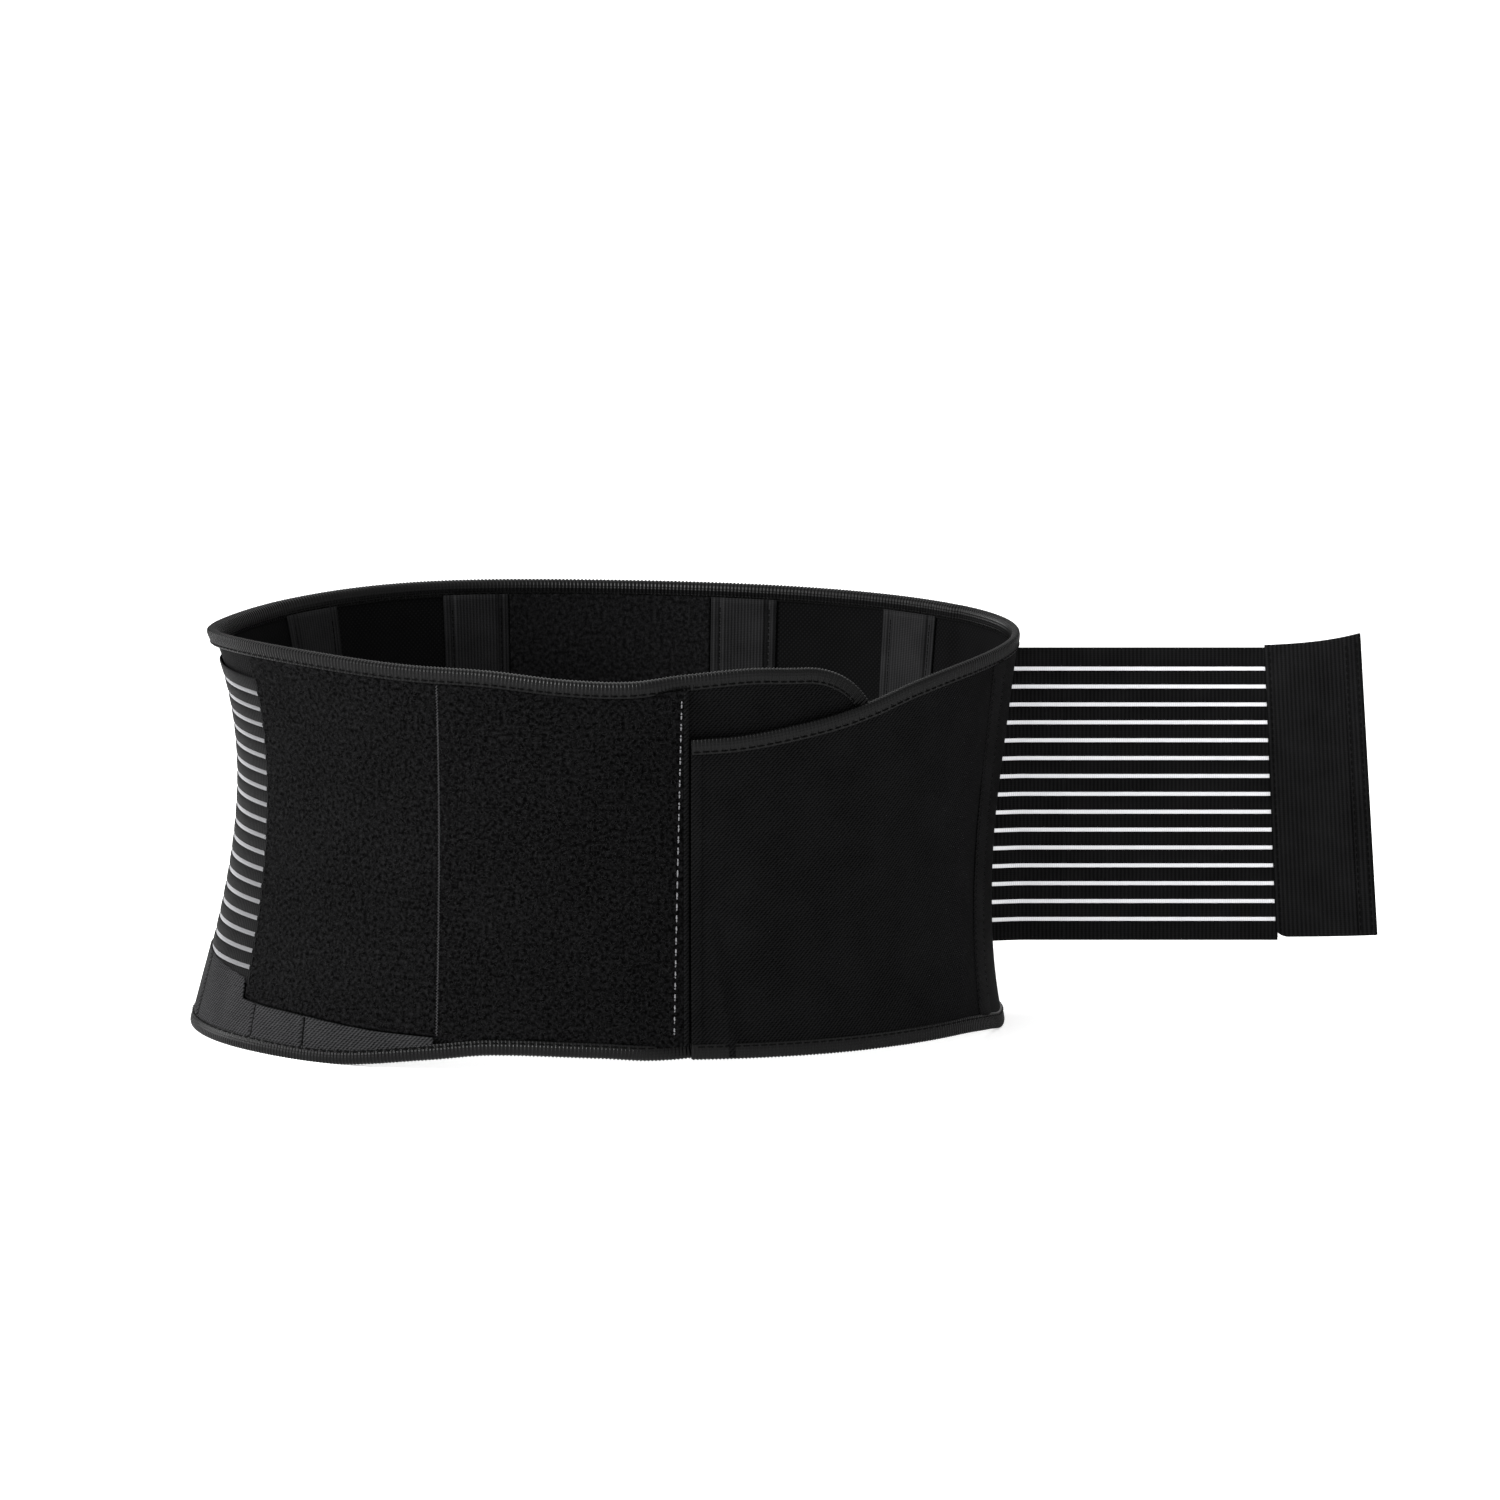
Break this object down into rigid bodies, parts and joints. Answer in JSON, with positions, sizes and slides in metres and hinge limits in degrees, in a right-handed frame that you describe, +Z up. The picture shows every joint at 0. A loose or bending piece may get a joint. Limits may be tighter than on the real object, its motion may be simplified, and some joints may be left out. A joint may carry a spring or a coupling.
{
  "type": "lumbar support belt",
  "caption": "Wrap-around lumbar support belt with stiffened back, overlapping front wings, loop panel and an elastic pull strap with a hook tab.",
  "frame": {"origin": "centre of the waist opening, on the surface that the belt stands on", "axes": "+Z up along the torso, +X towards the side with the free pull strap, -Y towards the front where the wings close"},
  "size_m": [0.5465, 0.2696, 0.1895],
  "materials": {
    "twill": "fine diagonal twill, matte",
    "lining_mesh": "fine diamond-knit lining",
    "spacer_foam": "open-cell foam",
    "pile": "brushed pile",
    "loop_pile": "fuzzy unbroken loop",
    "hook_tape": "moulded hook tape",
    "channel_tape": "ribbed woven tape",
    "spring_steel": "tempered spring steel",
    "tip_plastic": "moulded cap",
    "binding": "ribbed folded tape, slight sheen",
    "elastic_rib": "woven elastic cord rib",
    "clear_mesh": "clear monofilament mesh",
    "seam_thread": "zigzag seam thread",
    "tab_weave": "plain woven nylon"
  },
  "bodies": {
    "back_panel": {"back_shell": "twill", "back_spacer_foam": "spacer_foam", "back_lining": "lining_mesh", "lumbar_pile_panel": "pile", "stay_channel_1": "channel_tape", "stay_channel_2": "channel_tape", "stay_channel_3": "channel_tape", "stay_channel_4": "channel_tape", "stay_1": "spring_steel", "stay_2": "spring_steel", "stay_3": "spring_steel", "stay_4": "spring_steel", "stay_tips": "tip_plastic", "back_binding_top": "binding", "back_binding_bottom": "binding"},
    "right_half": {"right_wing_shell": "twill", "right_wing_lining": "lining_mesh", "right_binding_top": "binding", "right_binding_bottom": "binding", "closure_hook_patch": "hook_tape", "right_seam_tape": "channel_tape", "right_end_hem": "twill", "strap_anchor": "twill"},
    "left_half": {"left_wing_shell": "twill", "left_wing_lining": "lining_mesh", "left_binding_top": "binding", "left_binding_bottom": "binding", "left_binding_tip": "binding", "closure_loop_patch": "loop_pile", "left_elastic_ribs": "elastic_rib", "left_elastic_mesh": "clear_mesh", "left_elastic_hem": "elastic_rib", "loop_panel": "loop_pile", "loop_panel_seam": "seam_thread", "loop_panel_hem": "channel_tape", "lower_cover_strip": "twill"},
    "strap_near": {"strap_inner_ribs": "elastic_rib", "strap_inner_mesh": "clear_mesh"},
    "strap_far": {"strap_outer_ribs": "elastic_rib", "strap_outer_mesh": "clear_mesh"},
    "strap_grip": {"tab_core": "tab_weave", "tab_front": "tab_weave", "tab_back": "tab_weave", "tab_hook_patch": "hook_tape", "tab_end_hem": "tab_weave"}
  },
  "joints": [
    {"name": "right_half_open", "type": "hinge", "parent": "back_panel", "child": "right_half", "pos_m": [0.15834, 0.07153, 0], "axis": [0, 0, 1], "range_deg": [0, 80]},
    {"name": "left_half_open", "type": "hinge", "parent": "back_panel", "child": "left_half", "pos_m": [-0.16348, 0.07599, 0], "axis": [0, 0, 1], "range_deg": [-57, 0]},
    {"name": "strap_swing", "type": "hinge", "parent": "right_half", "child": "strap_near", "pos_m": [0.18195, 0.03712, 0.0997], "axis": [0, 0, 1], "range_deg": [-65, 30]},
    {"name": "strap_bend", "type": "hinge", "parent": "strap_near", "child": "strap_far", "pos_m": [0.23895, 0.03712, 0.0997], "axis": [0, 0, 1], "range_deg": [-50, 50]},
    {"name": "strap_stretch", "type": "slide", "parent": "strap_far", "child": "strap_grip", "axis": [1, 0, 0], "range_m": [0, 0.05], "stiffness_N_per_m": 150, "deforming": ["strap_outer_ribs", "strap_outer_mesh"]}
  ],
  "couplings": [
    {"joint": "left_half_open", "follows": "right_half_open", "ratio": -0.7}
  ]
}
